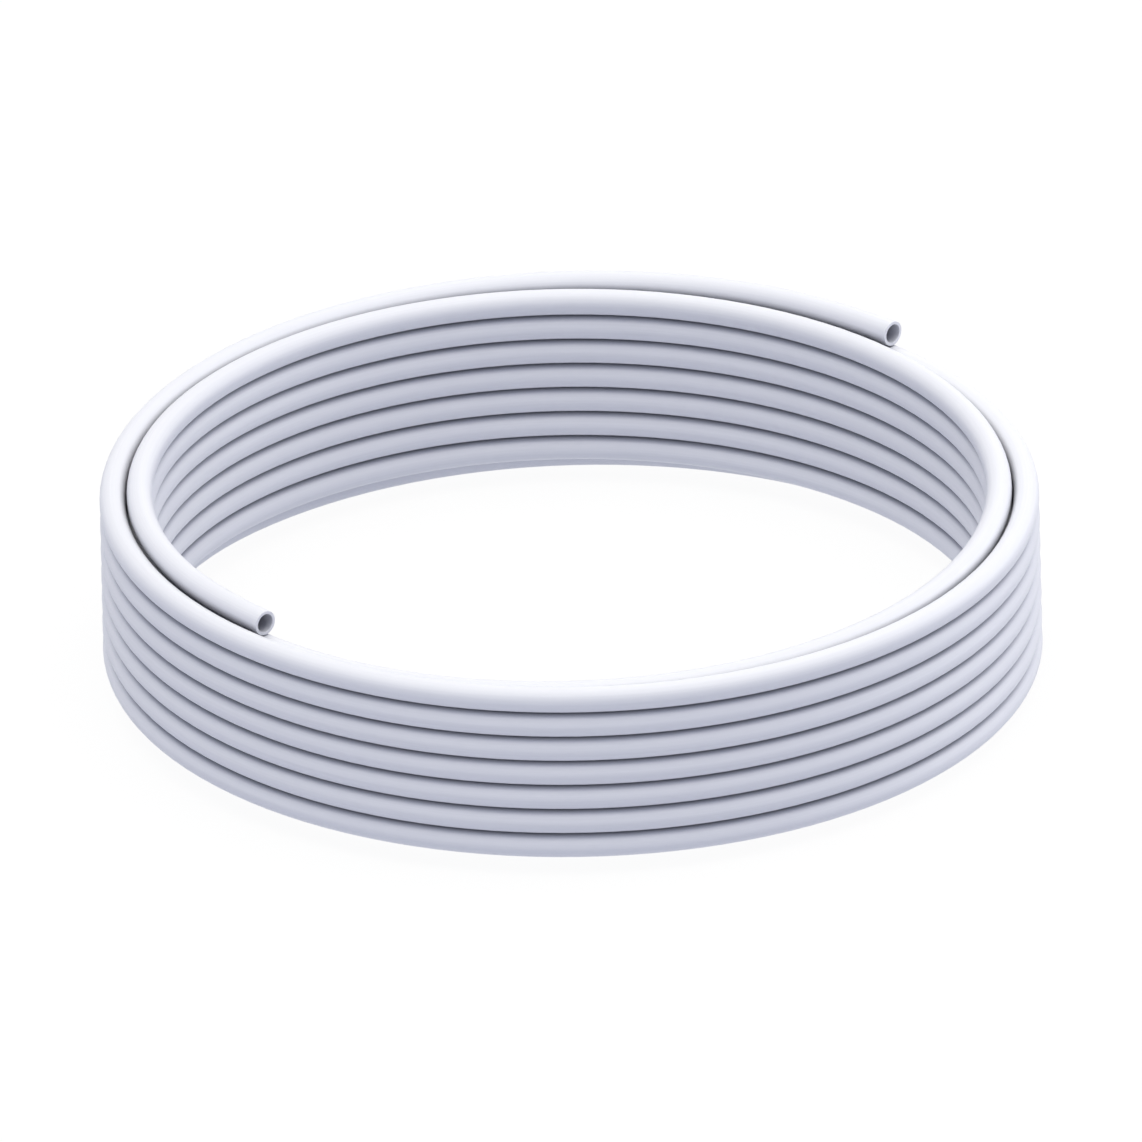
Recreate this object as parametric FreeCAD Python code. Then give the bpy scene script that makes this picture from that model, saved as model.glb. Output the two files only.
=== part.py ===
"""Smooth-walled hose, wound into a neat coil of two layers, with both ends cut square.

Millimetres. +Z is the coil's axis. The origin is on the surface that the coil lies on, under the
middle of the coil. Angles are counted anticlockwise from +X, seen from above.

The hose starts at the outer mouth, high in the outer layer. It winds down to the bottom, steps in
to the inner layer in a quarter turn, and winds up to the inner mouth, always the same way round.
"""

import FreeCAD, Part
import math
import os

# Tube
tube_outside = 16.0         # outside diameter of the hose
tube_wall = 2.0             # wall thickness of the hose
straight_end = 16.0         # length of hose beside each mouth that isn't bent

# Coil
eye_diameter = 515.6        # clear width inside the coil
turn_gap = 0.6              # clear between a turn and the one above it
layer_gap = 0.8             # clear between the two layers
outer_layer_turns = 7.24    # from the outer end down to the lowest turn
inner_layer_turns = 7.242   # from the lowest turn up to the inner end
winding_start = 47.6        # angle where the outer end's straight length meets the coil, in degrees
step_delay = 5.0            # how far past the lowest turn the hose starts to step inwards, in degrees
step_width = 60.0           # how far round the hose goes while it steps inwards, in degrees
floor_flat_depth = 0.5      # how deep the lowest turn is cut flat where it lies on a surface

# How the drawing is divided
layer_bend = math.pi / 2    # the most that one pair of arcs goes round in a layer
step_bends = 3              # pairs of arcs in the step between the layers
samples_per_arc = 48        # points taken on each arc to measure the coil

# Worked out from these
tube_radius = tube_outside / 2
bore_radius = tube_radius - tube_wall
turn_pitch = tube_outside + turn_gap
climb = turn_pitch / (2 * math.pi)
inner_layer_radius = eye_diameter / 2 + tube_radius
outer_layer_radius = inner_layer_radius + tube_outside + layer_gap
layer_bottom = outer_layer_turns * 2 * math.pi
step_start = layer_bottom + math.radians(step_delay)
step_end = step_start + math.radians(step_width)
winding_end = layer_bottom + inner_layer_turns * 2 * math.pi


def hose_line(wound):
    """Point and direction of the hose where it has wound so many radians from its start.

    The outer layer comes down by one pitch a turn and the inner one goes up as steeply. Between
    them the hose passes smoothly from the one line to the other.
    """
    passed = min(max((wound - step_start) / (step_end - step_start), 0), 1)
    share = passed * passed * (3 - 2 * passed)
    share_rate = 6 * passed * (1 - passed) / (step_end - step_start)
    layers_apart = inner_layer_radius - outer_layer_radius
    climbed_since = 2 * climb * (wound - layer_bottom)
    radius = outer_layer_radius + layers_apart * share
    height = climbed_since * share - climb * wound
    radius_rate = layers_apart * share_rate
    height_rate = climbed_since * share_rate + 2 * climb * share - climb
    angle = math.radians(winding_start) + wound
    outward = FreeCAD.Vector(math.cos(angle), math.sin(angle), 0)
    onward = FreeCAD.Vector(-math.sin(angle), math.cos(angle), 0)
    point = outward * radius + FreeCAD.Vector(0, 0, height)
    direction = outward * radius_rate + onward * radius + FreeCAD.Vector(0, 0, height_rate)
    return point, direction.normalize()


def stations(first, last, count):
    """Even steps from one amount of winding to another, the last left out."""
    return [first + (last - first) * index / count for index in range(count)]


def joined_arcs(start, start_direction, end, end_direction):
    """Two arcs that leave one point and reach another in the given directions, smoothly joined."""
    across = end - start
    sum_of_directions = start_direction + end_direction
    square = 2 * (1 - start_direction.dot(end_direction))
    along = across.dot(sum_of_directions)
    leg = (-along + math.sqrt(along ** 2 + square * across.dot(across))) / square
    first_corner = start + start_direction * leg
    second_corner = end - end_direction * leg
    middle = (first_corner + second_corner) * 0.5
    arcs = []
    for begin, corner, finish in ((start, first_corner, middle), (middle, second_corner, end)):
        chord_middle = (begin + finish) * 0.5
        half_chord = (finish - begin).Length / 2
        to_corner = corner - chord_middle
        share = half_chord / (leg + half_chord)
        crown = chord_middle + to_corner * share
        arcs.append(Part.Arc(begin, crown, finish))
    return arcs


def wound_arcs():
    """The centreline of the wound hose, as arcs that run smoothly into each other."""
    outer_bends = math.ceil(step_start / layer_bend)
    inner_bends = math.ceil((winding_end - step_end) / layer_bend)
    wound = stations(0, step_start, outer_bends)
    wound += stations(step_start, step_end, step_bends)
    wound += stations(step_end, winding_end, inner_bends) + [winding_end]
    places = [hose_line(amount) for amount in wound]
    arcs = []
    for (start, start_direction), (end, end_direction) in zip(places, places[1:]):
        arcs += joined_arcs(start, start_direction, end, end_direction)
    return arcs


def samples(arcs):
    """Evenly spaced points along arcs, each with the direction of the hose there."""
    found = []
    for arc in arcs:
        span = arc.LastParameter - arc.FirstParameter
        for index in range(samples_per_arc):
            place = arc.FirstParameter + span * index / samples_per_arc
            found.append((arc.value(place), FreeCAD.Vector(*arc.tangent(place)[0]).normalize()))
    return found


def solid_rod(edges, radius, start, direction):
    """A round solid of a given radius along a centreline."""
    ring = Part.Wire([Part.Circle(start, direction, radius).toShape()])
    return Part.Wire(edges).makePipeShell([ring], True, False)


def hollow_tube(edges, start, direction):
    """A length of hose along a centreline, cut square at both ends."""
    outside = solid_rod(edges, tube_radius, start, direction)
    inside = solid_rod(edges, bore_radius, start, direction)
    return outside.cut(inside)


def below_floor():
    """The space under the surface that the coil lies on."""
    reach = outer_layer_radius + tube_outside
    corner = FreeCAD.Vector(-reach, -reach, -tube_outside)
    return Part.makeBox(2 * reach, 2 * reach, tube_outside, corner)


def least_gap(line):
    """The narrowest clear space between the hose and another turn of itself."""
    cell = 2 * turn_pitch
    cells = {}
    for index, (point, direction) in enumerate(line):
        key = tuple(math.floor(value / cell) for value in point)
        cells.setdefault(key, []).append(index)
    around = [(x, y, z) for x in (-1, 0, 1) for y in (-1, 0, 1) for z in (-1, 0, 1)]
    narrowest = math.inf
    for (column, row, level), members in cells.items():
        others = []
        for x, y, z in around:
            others += cells.get((column + x, row + y, level + z), [])
        for index in members:
            point, direction = line[index]
            for other in others:
                if other - index > samples_per_arc:
                    between = line[other][0] - point
                    along = between.dot(direction)
                    if abs(along) < tube_radius:
                        narrowest = min(narrowest, (between - direction * along).Length)
    return narrowest - tube_outside


# The line that the hose follows
arcs = wound_arcs()
centreline = samples(arcs)
lowest = min((point for point, direction in centreline), key=lambda point: point.z)
lift = FreeCAD.Vector(0, 0, tube_radius - floor_flat_depth - lowest.z)
outer_start, outer_direction = hose_line(0)
inner_start, inner_direction = hose_line(winding_end)
outer_mouth = outer_start - outer_direction * straight_end
inner_mouth = inner_start + inner_direction * straight_end

# The wound hose and its two straight ends
edges = [arc.toShape() for arc in arcs]
hose_coil = hollow_tube(edges, outer_start, outer_direction)
outer_end = hollow_tube([Part.makeLine(outer_mouth, outer_start)], outer_mouth, outer_direction)
inner_end = hollow_tube([Part.makeLine(inner_start, inner_mouth)], inner_start, inner_direction)
whole_volume = hose_coil.Volume
for shape in (hose_coil, outer_end, inner_end):
    shape.translate(lift)
hose_coil = hose_coil.cut(below_floor())

nodes = {"hose_coil": hose_coil, "outer_end": outer_end, "inner_end": inner_end}
os.makedirs("parts", exist_ok=True)
for name, shape in nodes.items():
    shape.exportStep("parts/" + name + ".step")

# What was made
wound_length = sum(edge.Length for edge in edges)
hose_length = wound_length + 2 * straight_end
wall_section = math.pi * (tube_radius ** 2 - bore_radius ** 2)
radii = [edge.Curve.Radius for edge in edges]
print("%d arcs, radii %.1f to %.1f mm" % (len(radii), min(radii), max(radii)))
print("wound length %.1f mm, whole hose %.1f mm" % (wound_length, hose_length))
print("volume before the flat, over section x length: %.6f" % (whole_volume / (wall_section * wound_length)))
print("least gap between turns %.3f mm" % least_gap(centreline))
for name, shape in nodes.items():
    print("%s: valid %s, %d solid, %.0f mm3" % (name, shape.isValid(), len(shape.Solids), shape.Volume))
print("the flat's middle is at (%.3f, %.3f, 0)" % (lowest.x, lowest.y))
mouths = {"outer": (outer_mouth + lift, outer_direction * -1), "inner": (inner_mouth + lift, inner_direction)}
for name, (mouth, outwards) in mouths.items():
    angle = math.degrees(math.atan2(mouth.y, mouth.x)) % 360
    print("%s mouth (%.4f, %.4f, %.4f), %.2f degrees round, faces (%.7f, %.7f, %.7f)" % (
        name, mouth.x, mouth.y, mouth.z, angle, outwards.x, outwards.y, outwards.z))
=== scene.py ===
"""Looks of the coiled hose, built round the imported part. Metres, in the part's own frame.

The camera and the hose come first, then its plastic, the floor and the lights. The hose is one
tube with its bore, wound on a smooth line through the same places as the part's solid.
"""

import math

import bpy
import numpy as np
from mathutils import Matrix, Vector


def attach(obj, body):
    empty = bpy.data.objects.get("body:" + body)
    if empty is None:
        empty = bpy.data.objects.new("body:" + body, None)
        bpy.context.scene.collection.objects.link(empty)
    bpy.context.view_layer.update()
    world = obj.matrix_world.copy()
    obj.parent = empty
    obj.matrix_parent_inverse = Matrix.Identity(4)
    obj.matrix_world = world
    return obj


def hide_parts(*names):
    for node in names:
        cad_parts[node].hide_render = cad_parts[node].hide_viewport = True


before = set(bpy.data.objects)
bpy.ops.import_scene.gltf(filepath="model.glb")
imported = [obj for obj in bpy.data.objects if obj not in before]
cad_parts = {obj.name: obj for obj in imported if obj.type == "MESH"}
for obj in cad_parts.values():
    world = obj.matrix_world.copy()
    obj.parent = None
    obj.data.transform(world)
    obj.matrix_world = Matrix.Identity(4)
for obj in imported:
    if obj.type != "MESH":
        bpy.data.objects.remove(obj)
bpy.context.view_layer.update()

mm = 0.001

# Camera, as the photograph was taken
look_down = math.radians(26.228)        # how steeply the camera looks down on the coil
picture_turn = -0.02324                 # how far the picture is turned, in radians
picture_width = 706.1 * mm              # what the picture is wide
picture_centre = Vector((-0.08, -19.31, 77.12)) * mm
camera_distance = 2.5                   # far enough to have the whole coil in front of it

# Hose, as the part's source has it
tube_radius = 8 * mm
bore_radius = 6 * mm
straight_end = 16 * mm                  # length of hose beside each mouth before it winds
turn_pitch = 16.6 * mm                  # one turn is this much above the next
inner_layer_radius = 265.8 * mm
outer_layer_radius = 282.6 * mm
outer_layer_turns = 7.24
inner_layer_turns = 7.242
winding_start = math.radians(47.6)      # where round the coil the hose starts to wind
step_delay = math.radians(5)            # how far past the lowest turn the hose steps inwards
step_width = math.radians(60)           # how far round it goes while it does
line_top = 128.32 * mm                  # height of the hose's line where it starts to wind

# How finely the hose is drawn
points_per_turn = 24                    # control points of its line
rings_per_point = 5                     # rings of its skin for each of them
sides = 28                              # faces round it
cut_edge = 0.25 * mm                    # rounding of the cut ends' edges
cut_edge_steps = 2

# How the skin is laid out flat, for baking its finish
map_rows = 9                            # the hose's length is cut into so many rows
map_margin = 0.02                       # free beside each row, as a share of it
mouth_reach = 60 * mm                   # the skin this near a mouth
mouth_spread = 12                       # is spread so much wider on the map
deep_bore_spread = 0.04                 # and the bore further in, which nobody sees, narrower

# Worked out from these
climb = turn_pitch / (2 * math.pi)
layer_bottom = outer_layer_turns * 2 * math.pi
step_start = layer_bottom + step_delay
winding_end = layer_bottom + inner_layer_turns * 2 * math.pi


def aim_camera():
    """A camera without perspective, at the photograph's angle and turned as its picture is."""
    data = bpy.data.cameras.new("camera")
    data.type = "ORTHO"
    data.ortho_scale = picture_width
    camera = bpy.data.objects.new("camera", data)
    bpy.context.scene.collection.objects.link(camera)
    across = Vector((1, 0, 0))
    up = Vector((0, math.sin(look_down), math.cos(look_down)))
    turned_across = across * math.cos(picture_turn) + up * math.sin(picture_turn)
    turned_up = up * math.cos(picture_turn) - across * math.sin(picture_turn)
    back = turned_across.cross(turned_up)
    turn = Matrix((turned_across, turned_up, back)).transposed()
    place = picture_centre + back * camera_distance
    camera.matrix_world = Matrix.Translation(place) @ turn.to_4x4()
    bpy.context.scene.camera = camera


def hose_line(wound):
    """Where the hose's line is when it has wound so many radians from its start.

    The outer layer winds down and the inner one up. In the step between them the share of the
    inner layer grows from 0 to 1, slowly at first and at the end.
    """
    passed = min(max((wound - step_start) / step_width, 0), 1)
    share = passed * passed * (3 - 2 * passed)
    radius = outer_layer_radius + (inner_layer_radius - outer_layer_radius) * share
    height = line_top + 2 * climb * (wound - layer_bottom) * share - climb * wound
    angle = winding_start + wound
    return Vector((radius * math.cos(angle), radius * math.sin(angle), height))


def route_points():
    """Control points of the hose's line, from its outer mouth to its inner one.

    A smooth line cuts inside its control points, so each one stands out by an eighth of the bend.
    """
    count = round(winding_end / (2 * math.pi) * points_per_turn)
    step = winding_end / count
    hardly_bent = step / 1000
    start = hose_line(0)
    end = hose_line(winding_end)
    start_outwards = (start - hose_line(hardly_bent)).normalized()
    end_outwards = (end - hose_line(winding_end - hardly_bent)).normalized()
    points = [start + start_outwards * straight_end]
    for index in range(count):
        wound = (index + 0.5) * step
        point = hose_line(wound)
        bend = hose_line(wound - step) - 2 * point + hose_line(wound + step)
        points.append(point - bend / 8)
    points.append(end + end_outwards * straight_end)
    return points


def smooth_line(points):
    """Points along the smooth line that has these control points."""
    data = bpy.data.curves.new("hose_route", "CURVE")
    data.dimensions = "3D"
    spline = data.splines.new("NURBS")
    spline.points.add(len(points) - 1)
    for place, point in zip(spline.points, points):
        place.co = (*point, 1)
    spline.order_u = 3
    spline.use_endpoint_u = True
    spline.resolution_u = rings_per_point
    route = bpy.data.objects.new("hose_route", data)
    drawn = bpy.data.meshes.new_from_object(route)
    line = [vertex.co.copy() for vertex in drawn.vertices]
    bpy.data.meshes.remove(drawn)
    bpy.data.objects.remove(route)
    bpy.data.curves.remove(data)
    return line


def cut_profile(wall_radius, into_plastic):
    """Steps round a cut end's edge, as (depth from the cut, radius), from the cut to the wall.

    into_plastic is -1 where the plastic lies inside the wall's radius, and 1 where outside it.
    """
    steps = []
    for index in range(cut_edge_steps + 1):
        angle = math.pi / 2 * index / cut_edge_steps
        depth = cut_edge * (1 - math.cos(angle))
        radius = wall_radius + into_plastic * cut_edge * (1 - math.sin(angle))
        steps.append((depth, radius))
    return steps


def wall_rings(line, start_direction, end_direction, wall_radius, into_plastic):
    """Rings of the hose's outside or of its bore, from the outer mouth to the inner one.

    Each is (centre, direction, radius, distance from the outer mouth).
    """
    gone = [0]
    for before, after in zip(line, line[1:]):
        gone.append(gone[-1] + (after - before).length)
    edge = cut_profile(wall_radius, into_plastic)
    rings = []
    for depth, radius in edge:
        rings.append((line[0] + start_direction * depth, start_direction, radius, depth))
    for index in range(1, len(line) - 1):
        direction = (line[index + 1] - line[index - 1]).normalized()
        rings.append((line[index], direction, wall_radius, gone[index]))
    for depth, radius in reversed(edge):
        rings.append((line[-1] - end_direction * depth, end_direction, radius, gone[-1] - depth))
    return rings


def lay_out_skin(mesh, skin, along, outside_count):
    """Lays the skin out flat in rows: the hose's length runs along them, and its round up them.

    The map's name is the one that the finish is baked into.
    """
    # How long each ring's faces are on the map
    spread = np.where(np.arange(len(skin)) < outside_count, 1, deep_bore_spread)
    spread[np.minimum(along, along.max() - along) < mouth_reach] = mouth_spread
    steps = np.linalg.norm(np.roll(skin, -1, axis=0) - skin, axis=2).mean(axis=1) * spread
    reached = np.concatenate([[0], np.cumsum(steps)])
    # Which row they are in, and how far along it they start and end
    row = (reached[:-1] / reached[-1] * map_rows).astype(int)
    row_start = reached[np.searchsorted(row, np.arange(map_rows))]
    before = reached[:-1] - row_start[row]
    after = reached[1:] - row_start[row]
    round_it = np.arange(sides + 1) / sides
    across = np.stack([before, after, after, before], axis=-1) / after.max()
    upwards = np.stack([round_it[:-1], round_it[:-1], round_it[1:], round_it[1:]], axis=-1)
    places = np.empty((len(skin), sides, 4, 2))
    places[..., 0] = across[:, None]
    places[..., 1] = upwards[None]
    places = map_margin + (1 - 2 * map_margin) * places
    places[..., 1] = (row[:, None, None] + places[..., 1]) / map_rows
    flat = mesh.uv_layers.new(name="OFBake")
    flat.uv.foreach_set("vector", places.astype(np.float32).ravel())


def make_hose(points, line):
    """The hose as one closed skin, pressed flat where its lowest turn lies on the floor.

    The skin runs out along the hose's outside and back in its bore.
    """
    start_direction = (points[1] - points[0]).normalized()
    end_direction = (points[-1] - points[-2]).normalized()
    outside = wall_rings(line, start_direction, end_direction, tube_radius, -1)
    bore = wall_rings(line, start_direction, end_direction, bore_radius, 1)
    rings = outside + bore[::-1]
    centres = np.array([ring[0] for ring in rings])
    directions = np.array([ring[1] for ring in rings])
    radii = np.array([ring[2] for ring in rings])
    along = np.array([ring[3] for ring in rings])
    # The points of each ring
    outward = np.cross(directions, (0, 0, 1))
    outward /= np.linalg.norm(outward, axis=1, keepdims=True)
    upward = np.cross(outward, directions)
    turn = 2 * math.pi * (np.arange(sides) + 0.5) / sides
    beside = radii[:, None] * np.cos(turn)
    above = radii[:, None] * np.sin(turn)
    skin = centres[:, None] + beside[..., None] * outward[:, None]
    skin += above[..., None] * upward[:, None]
    skin[..., 2] = np.maximum(skin[..., 2], 0)
    # The faces from each ring to the next, and from the last one back to the first
    ring_index = np.arange(len(rings))[:, None]
    side_index = np.arange(sides)[None, :]
    next_ring = (ring_index + 1) % len(rings)
    next_side = (side_index + 1) % sides
    faces = np.stack([ring_index * sides + side_index, next_ring * sides + side_index,
                      next_ring * sides + next_side, ring_index * sides + next_side], axis=-1)
    mesh = bpy.data.meshes.new("vacuum_hose")
    mesh.from_pydata(skin.reshape(-1, 3).tolist(), [], faces.reshape(-1, 4).tolist())
    # The two cut faces are flat and all the rest is smooth
    smooth = np.ones((len(rings), sides), dtype=bool)
    smooth[len(outside) - 1] = False
    smooth[-1] = False
    mesh.polygons.foreach_set("use_smooth", smooth.ravel())
    lay_out_skin(mesh, skin, along, len(outside))
    # Where each point is on the hose, in millimetres: beside its line, above it and along it
    die = mesh.attributes.new("die_millimetres", "FLOAT_VECTOR", "POINT")
    far = np.repeat(along[:, None], sides, axis=1)
    on_hose = np.stack([beside, above, far], axis=-1) / mm
    die.data.foreach_set("vector", on_hose.astype(np.float32).ravel())
    mesh.update()
    hose = bpy.data.objects.new("vacuum_hose", mesh)
    bpy.context.scene.collection.objects.link(hose)
    return hose


def linear(hex_colour):
    """An sRGB hex colour as the linear colour that the shaders use."""
    found = []
    for place in (1, 3, 5):
        value = int(hex_colour[place:place + 2], 16) / 255
        found.append(value / 12.92 if value <= 0.04045 else ((value + 0.055) / 1.055) ** 2.4)
    return (*found, 1)


def add_node(tree, kind, links=(), **settings):
    """Adds a node with its settings.

    links has pairs of an input and what goes into it: a value, or the output of another node.
    """
    node = tree.nodes.new(kind)
    for name, value in settings.items():
        setattr(node, name, value)
    for name, value in links:
        if isinstance(value, bpy.types.NodeSocket):
            tree.links.new(value, node.inputs[name])
        else:
            node.inputs[name].default_value = value
    return node


def new_material(name):
    """A material with nothing in it."""
    material = bpy.data.materials.new(name)
    material.use_nodes = True
    material.node_tree.nodes.clear()
    return material, material.node_tree


def extruded_soft_pvc():
    """White plasticised PVC as it comes off the extruder.

    Soft and opaque, with a low satin gloss. The die leaves hair-fine lines along the hose, and
    drawing off and cooling leave slow changes of shade and gloss along its length. Shade between
    the turns and in the bore is painted into its colour.
    """
    plain_shade = "#E4E5EB"
    die_line_shade = "#E9EAF0"
    draw_off_shade = "#E0E1E9"
    most_draw_off = 0.35                # the share of that shade where it is strongest
    pattern_low, pattern_high = 0.3, 0.7    # a pattern's values lie nearly all between these
    die_line_start = 0.35               # and what is lower than this has no die line
    # Painted shade: the next colour is painted between the turns and in the bore, out to these
    # reaches
    painted_deep_shade = "#A0A1A8"              # between the turns and in the bore
    shade_reach_outside = 7 * mm        # how far deep shade reaches out from what is near by
    shade_reach_in_bore = 15 * mm
    bore_side, outer_side = 6.3, 7.0    # millimetres from the hose's line, both inside its wall
    deepest, open_air = 0.1, 0.82       # how open the place is at full shade and at none
    shiniest, dullest = 0.40, 0.52      # roughness
    pvc_ior = 1.53
    relief_height = 0.05 * mm           # of the die lines and of the orange peel
    die_line_relief = 0.5
    peel_relief = 0.35
    material, tree = new_material("extruded_soft_white_pvc")
    place = add_node(tree, "ShaderNodeAttribute", attribute_name="die_millimetres")
    # Patterns, with the millimetres from one swell to the next round the hose and along it. Real
    # die lines are 0.1 to 0.3 mm wide. They are drawn 1.2 mm wide, so that they show
    patterns = []
    for around, lengthwise, detail, roughness in (
            (1.2, 300, 3.0, 0.6),       # die lines
            (40, 700, 2.0, 0.5),        # slow changes from drawing off
            (2.5, 6, 1.0, 0.5)):        # fine orange peel of the cooled skin
        stretched = add_node(tree, "ShaderNodeVectorMath", [
            (0, place.outputs["Vector"]), (1, (1 / around, 1 / around, 1 / lengthwise))],
            operation="MULTIPLY")
        patterns.append(add_node(tree, "ShaderNodeTexNoise", [
            ("Vector", stretched.outputs["Vector"]), ("Scale", 1.0), ("Detail", detail),
            ("Roughness", roughness)]))
    die_lines, draw_off, peel = [pattern.outputs["Fac"] for pattern in patterns]
    # Colour of the plastic in the open
    die_line_share = add_node(tree, "ShaderNodeMapRange", [
        ("Value", die_lines), ("From Min", die_line_start), ("From Max", pattern_high)])
    lined = add_node(tree, "ShaderNodeMix", [
        ("Factor", die_line_share.outputs["Result"]), ("A", linear(plain_shade)),
        ("B", linear(die_line_shade))], data_type="RGBA")
    draw_off_share = add_node(tree, "ShaderNodeMapRange", [
        ("Value", draw_off), ("From Min", pattern_low), ("From Max", pattern_high),
        ("To Min", 0.0), ("To Max", most_draw_off)])
    colour = add_node(tree, "ShaderNodeMix", [
        ("Factor", draw_off_share.outputs["Result"]), ("A", lined.outputs["Result"]),
        ("B", linear(draw_off_shade))], data_type="RGBA")
    # Painted shade: between the turns and in the bore, where shade falls, a darker colour is
    # painted into the plastic. How far a point is from the hose's line tells the bore from the
    # outside
    across = add_node(tree, "ShaderNodeVectorMath", [
        (0, place.outputs["Vector"]), (1, (1, 1, 0))], operation="MULTIPLY")
    from_line = add_node(tree, "ShaderNodeVectorMath", [
        (0, across.outputs["Vector"])], operation="LENGTH")
    shade_reach = add_node(tree, "ShaderNodeMapRange", [
        ("Value", from_line.outputs["Value"]), ("From Min", bore_side), ("From Max", outer_side),
        ("To Min", shade_reach_in_bore), ("To Max", shade_reach_outside)])
    openness = add_node(tree, "ShaderNodeAmbientOcclusion", [
        ("Distance", shade_reach.outputs["Result"])], samples=12, only_local=True)
    open_share = add_node(tree, "ShaderNodeMapRange", [
        ("Value", openness.outputs["AO"]), ("From Min", deepest), ("From Max", open_air)])
    # The painted shade goes into the plastic's colour here
    with_painted_shade = add_node(tree, "ShaderNodeMix", [
        ("Factor", open_share.outputs["Result"]), ("A", linear(painted_deep_shade)),
        ("B", colour.outputs["Result"])], data_type="RGBA")
    # Gloss and relief
    gloss = add_node(tree, "ShaderNodeMapRange", [
        ("Value", die_lines), ("From Min", pattern_low), ("From Max", pattern_high),
        ("To Min", shiniest), ("To Max", dullest)])
    lined_relief = add_node(tree, "ShaderNodeBump", [
        ("Height", die_lines), ("Strength", die_line_relief), ("Distance", relief_height)])
    relief = add_node(tree, "ShaderNodeBump", [
        ("Height", peel), ("Strength", peel_relief), ("Distance", relief_height),
        ("Normal", lined_relief.outputs["Normal"])])
    plastic = add_node(tree, "ShaderNodeBsdfPrincipled", [
        ("Base Color", with_painted_shade.outputs["Result"]), ("Roughness", gloss.outputs["Result"]),
        ("IOR", pvc_ior), ("Normal", relief.outputs["Normal"])])
    add_node(tree, "ShaderNodeOutputMaterial", [("Surface", plastic.outputs["BSDF"])])
    return material


def seen_directly(tree):
    """1 for what the camera sees, also in a gloss or through a clear piece. 0 for what lights."""
    ray = add_node(tree, "ShaderNodeLightPath")
    seen = add_node(tree, "ShaderNodeMath", [
        (0, ray.outputs["Is Camera Ray"]), (1, ray.outputs["Is Glossy Ray"])],
        operation="MAXIMUM")
    return add_node(tree, "ShaderNodeMath", [
        (0, seen.outputs["Value"]), (1, ray.outputs["Is Transmission Ray"])],
        operation="MAXIMUM")


def make_floor():
    """A plain pale floor. The camera sees it white, with a faint shadow under the coil."""
    reach = 6
    shadow_depth = 0.06                 # the share of the white that the lamps have to light
    matt_colour = "#7C7D84"
    glow_colour = "#B6B9C3"
    glow_strength = 0.9
    material, tree = new_material("white_studio_floor")
    paint = add_node(tree, "ShaderNodeBsdfDiffuse", [("Color", linear("#FFFFFF"))])
    white = add_node(tree, "ShaderNodeEmission", [("Color", linear("#FFFFFF")), ("Strength", 1.0)])
    seen = add_node(tree, "ShaderNodeMixShader", [
        (0, shadow_depth), (1, white.outputs["Emission"]), (2, paint.outputs["BSDF"])])
    # What it throws back at the hose partly glows, so it stays bright close to the hose too
    matt = add_node(tree, "ShaderNodeBsdfDiffuse", [("Color", linear(matt_colour))])
    glow = add_node(tree, "ShaderNodeEmission", [
        ("Color", linear(glow_colour)), ("Strength", glow_strength)])
    bounce = add_node(tree, "ShaderNodeAddShader", [
        (0, matt.outputs["BSDF"]), (1, glow.outputs["Emission"])])
    both = add_node(tree, "ShaderNodeMixShader", [
        (0, seen_directly(tree).outputs["Value"]), (1, bounce.outputs["Shader"]),
        (2, seen.outputs["Shader"])])
    add_node(tree, "ShaderNodeOutputMaterial", [("Surface", both.outputs["Shader"])])
    mesh = bpy.data.meshes.new("floor")
    corners = [(-reach, -reach, 0), (reach, -reach, 0), (reach, reach, 0), (-reach, reach, 0)]
    mesh.from_pydata(corners, [], [(0, 1, 2, 3)])
    mesh.materials.append(material)
    floor = bpy.data.objects.new("floor", mesh)
    bpy.context.scene.collection.objects.link(floor)


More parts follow.
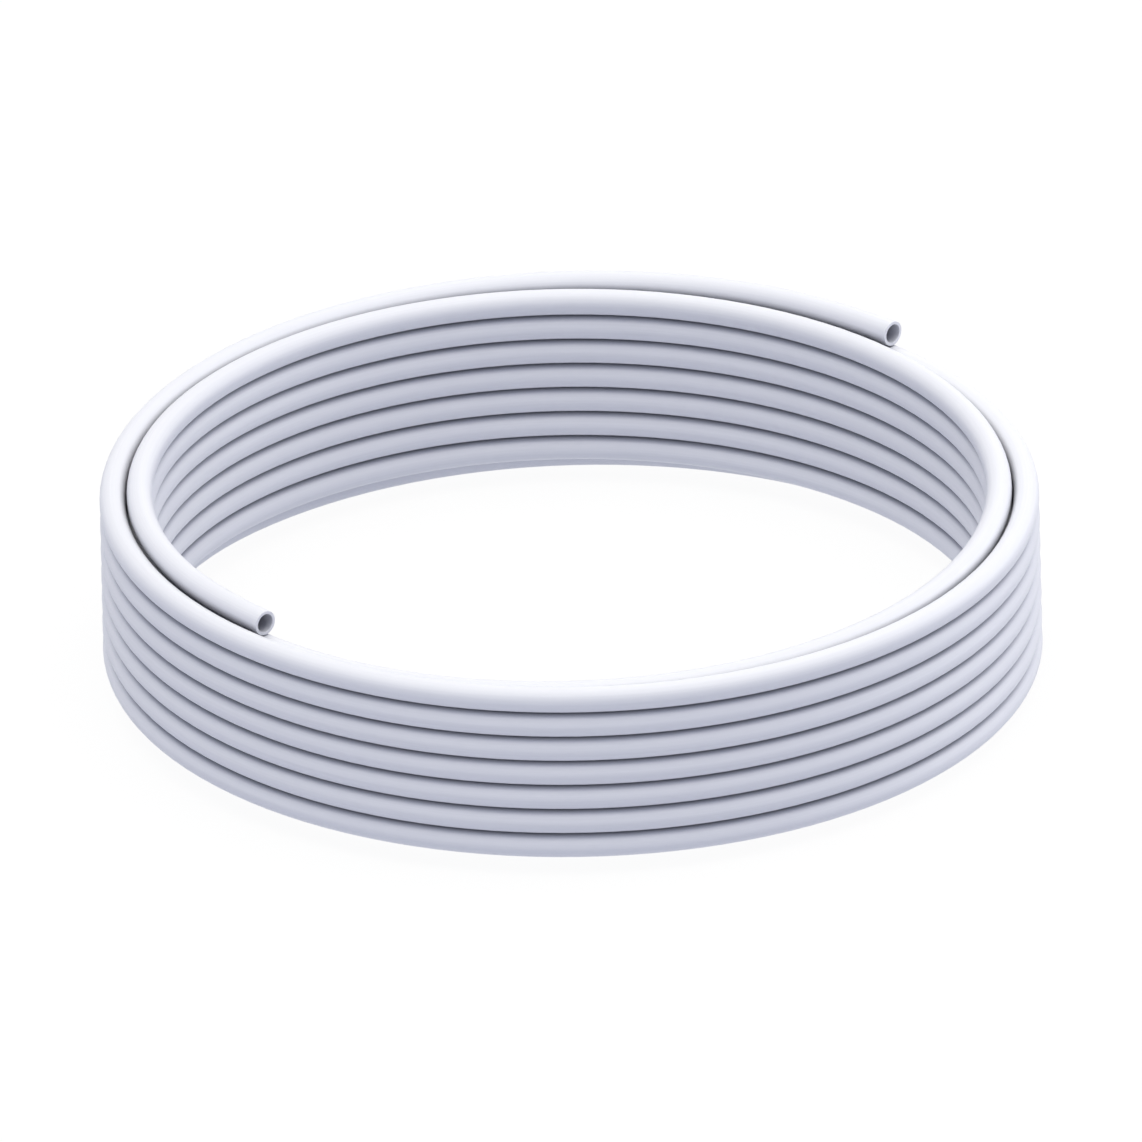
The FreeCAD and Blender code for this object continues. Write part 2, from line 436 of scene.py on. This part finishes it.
def make_sky():
    """Soft studio light: a bright ceiling and dimmer, bluer walls. The camera sees plain white."""
    ceiling_colour = "#EDEBE3"
    ceiling_strength = 3.75
    wall_colour = "#AFB4C8"
    wall_strength = 0.82
    ceiling_shape = (0.9, 1.15, 1.0)    # it is longer from left to right than from front to back
    wall_top, ceiling_edge = 0.76, 0.92     # upward part of the direction to each
    world = bpy.data.worlds.new("studio")
    world.use_nodes = True
    tree = world.node_tree
    tree.nodes.clear()
    direction = add_node(tree, "ShaderNodeTexCoord")
    stretched = add_node(tree, "ShaderNodeVectorMath", [
        (0, direction.outputs["Generated"]), (1, ceiling_shape)], operation="MULTIPLY")
    towards = add_node(tree, "ShaderNodeVectorMath", [
        (0, stretched.outputs["Vector"])], operation="NORMALIZE")
    height = add_node(tree, "ShaderNodeSeparateXYZ", [("Vector", towards.outputs["Vector"])])
    ceiling_share = add_node(tree, "ShaderNodeMapRange", [
        ("Value", height.outputs["Z"]), ("From Min", wall_top), ("From Max", ceiling_edge)],
        interpolation_type="SMOOTHSTEP")
    ceiling = add_node(tree, "ShaderNodeBackground", [
        ("Color", linear(ceiling_colour)), ("Strength", ceiling_strength)])
    walls = add_node(tree, "ShaderNodeBackground", [
        ("Color", linear(wall_colour)), ("Strength", wall_strength)])
    soft = add_node(tree, "ShaderNodeMixShader", [
        (0, ceiling_share.outputs["Result"]), (1, walls.outputs["Background"]),
        (2, ceiling.outputs["Background"])])
    white = add_node(tree, "ShaderNodeBackground", [
        ("Color", linear("#FFFFFF")), ("Strength", 1.0)])
    both = add_node(tree, "ShaderNodeMixShader", [
        (0, seen_directly(tree).outputs["Value"]), (1, soft.outputs["Shader"]),
        (2, white.outputs["Background"])])
    add_node(tree, "ShaderNodeOutputWorld", [("Surface", both.outputs["Shader"])])
    bpy.context.scene.world = world


def add_softbox(name, place, size, power):
    """A square white lamp that faces the middle of the coil."""
    data = bpy.data.lights.new(name, "AREA")
    data.shape = "SQUARE"
    data.size = size
    data.energy = power
    lamp = bpy.data.objects.new(name, data)
    lamp.location = place
    lamp.rotation_mode = "QUATERNION"
    lamp.rotation_quaternion = (-Vector(place)).to_track_quat("-Z", "Y")
    lamp.visible_camera = False
    bpy.context.scene.collection.objects.link(lamp)


aim_camera()
control_points = route_points()
line = smooth_line(control_points)
hose = make_hose(control_points, line)
hose.data.materials.append(extruded_soft_pvc())
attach(hose, "root")
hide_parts("hose_coil", "outer_end", "inner_end")

make_floor()
make_sky()
add_softbox("softbox_right", place=(1.85, 0.5, 0.75), size=1.2, power=8.5)
add_softbox("softbox_front", place=(-0.2, -1.9, 0.5), size=1.0, power=1.2)
bpy.context.scene.view_settings.view_transform = "Standard"
